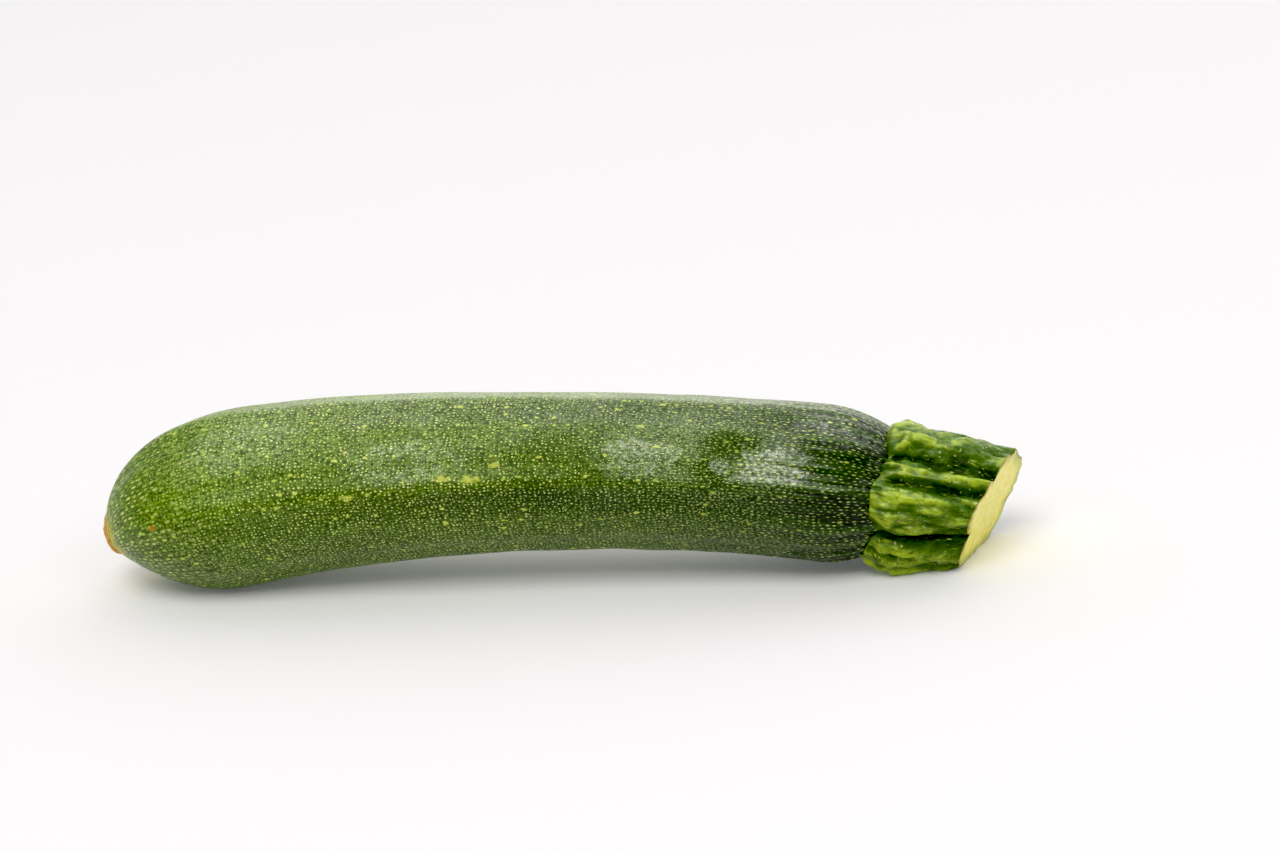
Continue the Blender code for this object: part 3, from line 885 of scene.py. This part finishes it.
# The first column runs along the top, where outward is up.
if stalk_normals[50, 0] @ stalk_up < 0:
    stalk_normals = -stalk_normals
hair_points, hair_faces = [], []
for _ in range(HAIRS):
    row = int(hair_luck.integers(6, len(sides) - 4))
    column = int(hair_luck.integers(0, STALK_STEPS))
    if rib[column] < hair_luck.uniform(0.2, 0.95):
        continue
    root_at, out = sides[row, column], stalk_normals[row, column]
    lean = unit(out + stalk_along * hair_luck.uniform(-0.3, 0.7) + hair_luck.normal(0, 0.25, 3))
    length = hair_luck.uniform(*HAIR_LENGTHS)
    thickness = hair_luck.uniform(*HAIR_THICKNESSES)
    side_one = unit(np.cross(lean, stalk_along + 0.1))
    side_two = np.cross(lean, side_one)
    base = len(hair_points)
    for joint in range(HAIR_JOINTS):
        share = joint / HAIR_JOINTS
        middle = root_at - out * HAIR_ROOT + lean * length * share + stalk_along * HAIR_CURL * share**2
        for side in even_angles(HAIR_SIDES):
            spread = side_one * math.cos(side) + side_two * math.sin(side)
            hair_points.append(middle + spread * thickness * (1 - share * 0.8))
    hair_points.append(root_at + lean * length + stalk_along * HAIR_CURL)
    tip = len(hair_points) - 1
    for side in range(HAIR_SIDES):
        after_side = (side + 1) % HAIR_SIDES
        for joint in range(HAIR_JOINTS - 1):
            low, high = base + joint * HAIR_SIDES, base + (joint + 1) * HAIR_SIDES
            hair_faces.append((low + side, low + after_side, high + after_side, high + side))
        last_ring = base + (HAIR_JOINTS - 1) * HAIR_SIDES
        hair_faces.append((last_ring + side, last_ring + after_side, tip))
    hair_faces.append(tuple(base + side for side in reversed(range(HAIR_SIDES))))
hair_mesh = bpy.data.meshes.new("stalk_hairs")
hair_mesh.from_pydata(lay(np.array(hair_points)).tolist(), [], hair_faces)
hair_mesh.shade_smooth()
hairs = bpy.data.objects.new("stalk_hairs", hair_mesh)
bpy.context.collection.objects.link(hairs)
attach(hairs, "root")

# Bristle: dry, translucent plant hair, so it's pale straw and dull.
bristle, bristle_shader = new_material("plant_bristle")
bristle_where = add(bristle, "TexCoord").outputs["Object"]
bristle_where = add(bristle, "VectorMath", [bristle_where, (1 / MM, 1 / MM, 1 / MM)], **TIMES)
bristle_luck = add(bristle, "TexNoise", [bristle_where, 1 / 1.5, 1.0, 0.5])
pale_bristle = add(bristle, "MapRange", [bristle_luck, 0.4, 0.6, 0.0, 1.0], **SMOOTH)
feed(bristle, bristle_shader, {
    "Base Color": add(bristle, "Mix", [pale_bristle, srgb("#8e8a3c"), srgb("#d8d79a")], **COLOURS),
    "Roughness": 0.6,
})
hairs.data.materials.append(bristle)


# ---- The table ----
# A plain pale studio sweep: matt white acrylic, faintly lit from below, so that shadows on it stay light.

FLOOR_SIZE = 12.0
FLOOR_BELOW = 0.0001

floor_mesh = bpy.data.meshes.new("floor")
half = FLOOR_SIZE / 2
floor_corners = [(-half, -half, 0), (half, -half, 0), (half, half, 0), (-half, half, 0)]
floor_mesh.from_pydata(floor_corners, [], [(0, 1, 2, 3)])
floor = bpy.data.objects.new("floor", floor_mesh)
bpy.context.collection.objects.link(floor)
floor.location.z = cad_box[0].z - FLOOR_BELOW
white, white_shader = new_material("white_studio_sweep")
feed(white, white_shader, {
    "Base Color": srgb("#f3f0f0"),
    "Roughness": 0.9,
    "Specular IOR Level": 0.0,
    "Emission Color": srgb("#f6f8ff"),
    "Emission Strength": 0.085,
})
floor.data.materials.append(white)


# ---- The light ----
# A white room, brighter overhead and toward the back wall, with one large soft box over the front of the
# table, a smaller one at the stalk's end, and two close panels for the sheen of the waxy skin.

room = bpy.data.worlds.new("white_room")
bpy.context.scene.world = room
room.use_nodes = True
room_where = add(room, "TexCoord").outputs["Generated"]
_, to_back, upward = add(room, "SeparateXYZ", [room_where]).outputs
back_wall = add(room, "MapRange", [to_back, -0.4, 0.6, 0.02, 0.72], **SMOOTH)
ceiling = add(room, "MapRange", [upward, 0.1, 0.8, 0.0, 0.35], **SMOOTH)
feed(room, room.node_tree.nodes["Background"], {
    "Color": srgb("#ffffff"),
    "Strength": add(room, "Math", [back_wall, ceiling]),
})


def soft_box(name, azimuth, elevation, distance, size, power):
    """A square lamp that faces the courgette. Azimuth 0 is in front, and 90 is at the stalk's end."""
    turn, lift = math.radians(azimuth), math.radians(elevation)
    toward = Vector((math.sin(turn) * math.cos(lift), -math.cos(turn) * math.cos(lift), math.sin(lift)))
    lamp_data = bpy.data.lights.new(name, "AREA")
    lamp_data.shape = "SQUARE"
    lamp_data.size = size
    lamp_data.energy = power
    lamp = bpy.data.objects.new(name, lamp_data)
    bpy.context.collection.objects.link(lamp)
    lamp.location = toward * distance
    lamp.rotation_euler = toward.to_track_quat("Z", "Y").to_euler()
    return lamp


soft_box("front_soft_box", azimuth=5, elevation=62, distance=4.2, size=2.26, power=76.0)
soft_box("side_soft_box", azimuth=58, elevation=36, distance=3.6, size=1.64, power=18.0)
# These two light only the sheen: one over the blossom end, and one behind.
sheen_panel = soft_box("sheen_panel", azimuth=-30, elevation=68, distance=1.0, size=1.5, power=30.0)
back_panel = soft_box("back_panel", azimuth=170, elevation=45, distance=1.1, size=2.0, power=32.0)
for panel in (sheen_panel, back_panel):
    panel.visible_diffuse = False
    panel.data.color = srgb("#fffdf4")[:3]


# ---- The camera ----
# A short telephoto lens looks down on the courgette from the front and a little from the stalk's side,
# and is rolled so that the courgette runs nearly level across the view.

CAMERA_AZIMUTH, CAMERA_ELEVATION, CAMERA_ROLL = (math.radians(angle) for angle in (22, 22, 10.8))
CAMERA_DISTANCE = 0.700
SENSOR_WIDTH, FOCAL_LENGTH = 36, 90.7
AIM = Vector((0, 0, 0.020))
# The lens points to the right of the courgette's middle and above it.
PAN, TILT = math.radians(1.83), math.radians(1.01)

camera_data = bpy.data.cameras.new("camera")
camera_data.sensor_width = SENSOR_WIDTH
camera_data.lens = FOCAL_LENGTH
camera = bpy.data.objects.new("camera", camera_data)
bpy.context.collection.objects.link(camera)
bpy.context.scene.camera = camera
back = Vector((
    math.sin(CAMERA_AZIMUTH) * math.cos(CAMERA_ELEVATION),
    -math.cos(CAMERA_AZIMUTH) * math.cos(CAMERA_ELEVATION),
    math.sin(CAMERA_ELEVATION),
))
level = Vector((math.cos(CAMERA_AZIMUTH), math.sin(CAMERA_AZIMUTH), 0))
facing = Matrix((level, back.cross(level), back)).transposed()
facing = facing @ Matrix.Rotation(-CAMERA_ROLL, 3, "Z")
facing = facing @ Matrix.Rotation(-PAN, 3, "Y") @ Matrix.Rotation(TILT, 3, "X")
camera.matrix_world = Matrix.Translation(AIM + back * CAMERA_DISTANCE) @ facing.to_4x4()

# It deepens the darkest greens a little.
BLACK_LEVEL = 0.012
view = bpy.context.scene.view_settings
view.view_transform = "Standard"
view.use_curve_mapping = True
view.curve_mapping.black_level = (BLACK_LEVEL, BLACK_LEVEL, BLACK_LEVEL)
view.curve_mapping.update()
